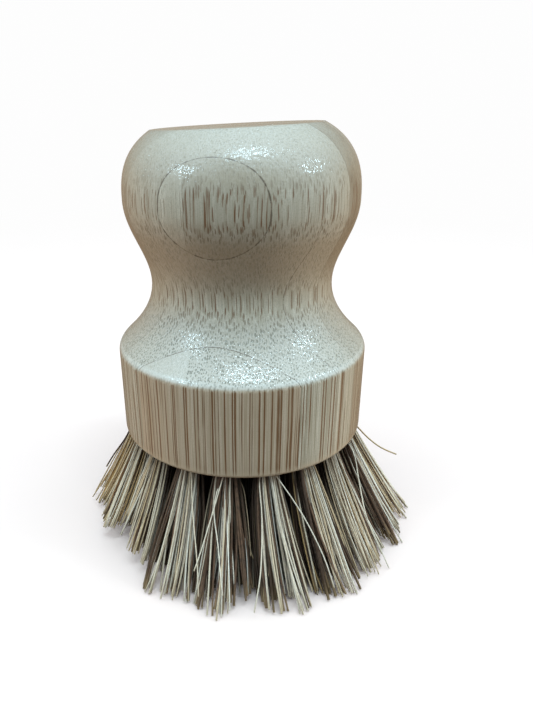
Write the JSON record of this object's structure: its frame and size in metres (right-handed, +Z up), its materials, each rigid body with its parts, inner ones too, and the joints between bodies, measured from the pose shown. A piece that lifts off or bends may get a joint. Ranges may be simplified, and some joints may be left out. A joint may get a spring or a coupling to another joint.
{
  "type": "pot brush",
  "caption": "Palm-sized dish brush: a turned bamboo handle with a round knob, a narrow waist and a wide round base, and fanned plant-fibre tufts below.",
  "frame": {"origin": "on the handle's axis, in the plane of the bristle tips that the brush stands on", "axes": "+Z up along the handle's axis, from the bristle tips to the knob; the front of the brush, as pictured, faces -Y"},
  "size_m": [0.0722, 0.0714, 0.0853],
  "materials": {
    "bamboo": "clear gloss lacquer",
    "fibre": "matt, mixed pale and dark brown plant fibre",
    "wire": "plain drawn wire"
  },
  "bodies": {
    "root": {"bamboo_board_1_base": "bamboo", "bamboo_board_1_knob": "bamboo", "bamboo_board_2": "bamboo", "bamboo_board_3": "bamboo", "bamboo_board_4": "bamboo", "bamboo_board_5": "bamboo", "bamboo_board_6": "bamboo", "bamboo_board_7": "bamboo", "bamboo_board_8": "bamboo", "bamboo_board_9_base": "bamboo", "bamboo_board_9_knob": "bamboo", "staple_centre": "wire", "staple_ring_1_01": "wire", "staple_ring_1_02": "wire", "staple_ring_1_03": "wire", "staple_ring_1_04": "wire", "staple_ring_1_05": "wire", "staple_ring_1_06": "wire", "tuft_centre": "fibre", "tuft_ring_1_01": "fibre", "tuft_ring_1_02": "fibre", "tuft_ring_1_03": "fibre", "tuft_ring_1_04": "fibre", "tuft_ring_1_05": "fibre", "tuft_ring_1_06": "fibre", "tuft_ring_2_01": "fibre", "tuft_ring_2_02": "fibre", "tuft_ring_2_03": "fibre", "tuft_ring_2_04": "fibre", "tuft_ring_2_05": "fibre", "tuft_ring_2_06": "fibre", "tuft_ring_2_07": "fibre", "tuft_ring_2_08": "fibre", "tuft_ring_2_09": "fibre", "tuft_ring_2_10": "fibre", "tuft_ring_2_11": "fibre", "tuft_ring_2_12": "fibre", "tuft_ring_3_01": "fibre", "tuft_ring_3_02": "fibre", "tuft_ring_3_03": "fibre", "tuft_ring_3_04": "fibre", "tuft_ring_3_05": "fibre", "tuft_ring_3_06": "fibre", "tuft_ring_3_07": "fibre", "tuft_ring_3_08": "fibre", "tuft_ring_3_09": "fibre", "tuft_ring_3_10": "fibre", "tuft_ring_3_11": "fibre", "tuft_ring_3_12": "fibre", "tuft_ring_3_13": "fibre", "tuft_ring_3_14": "fibre", "tuft_ring_3_15": "fibre", "tuft_ring_3_16": "fibre", "tuft_ring_3_17": "fibre", "tuft_ring_3_18": "fibre"}
  },
  "joints": []
}
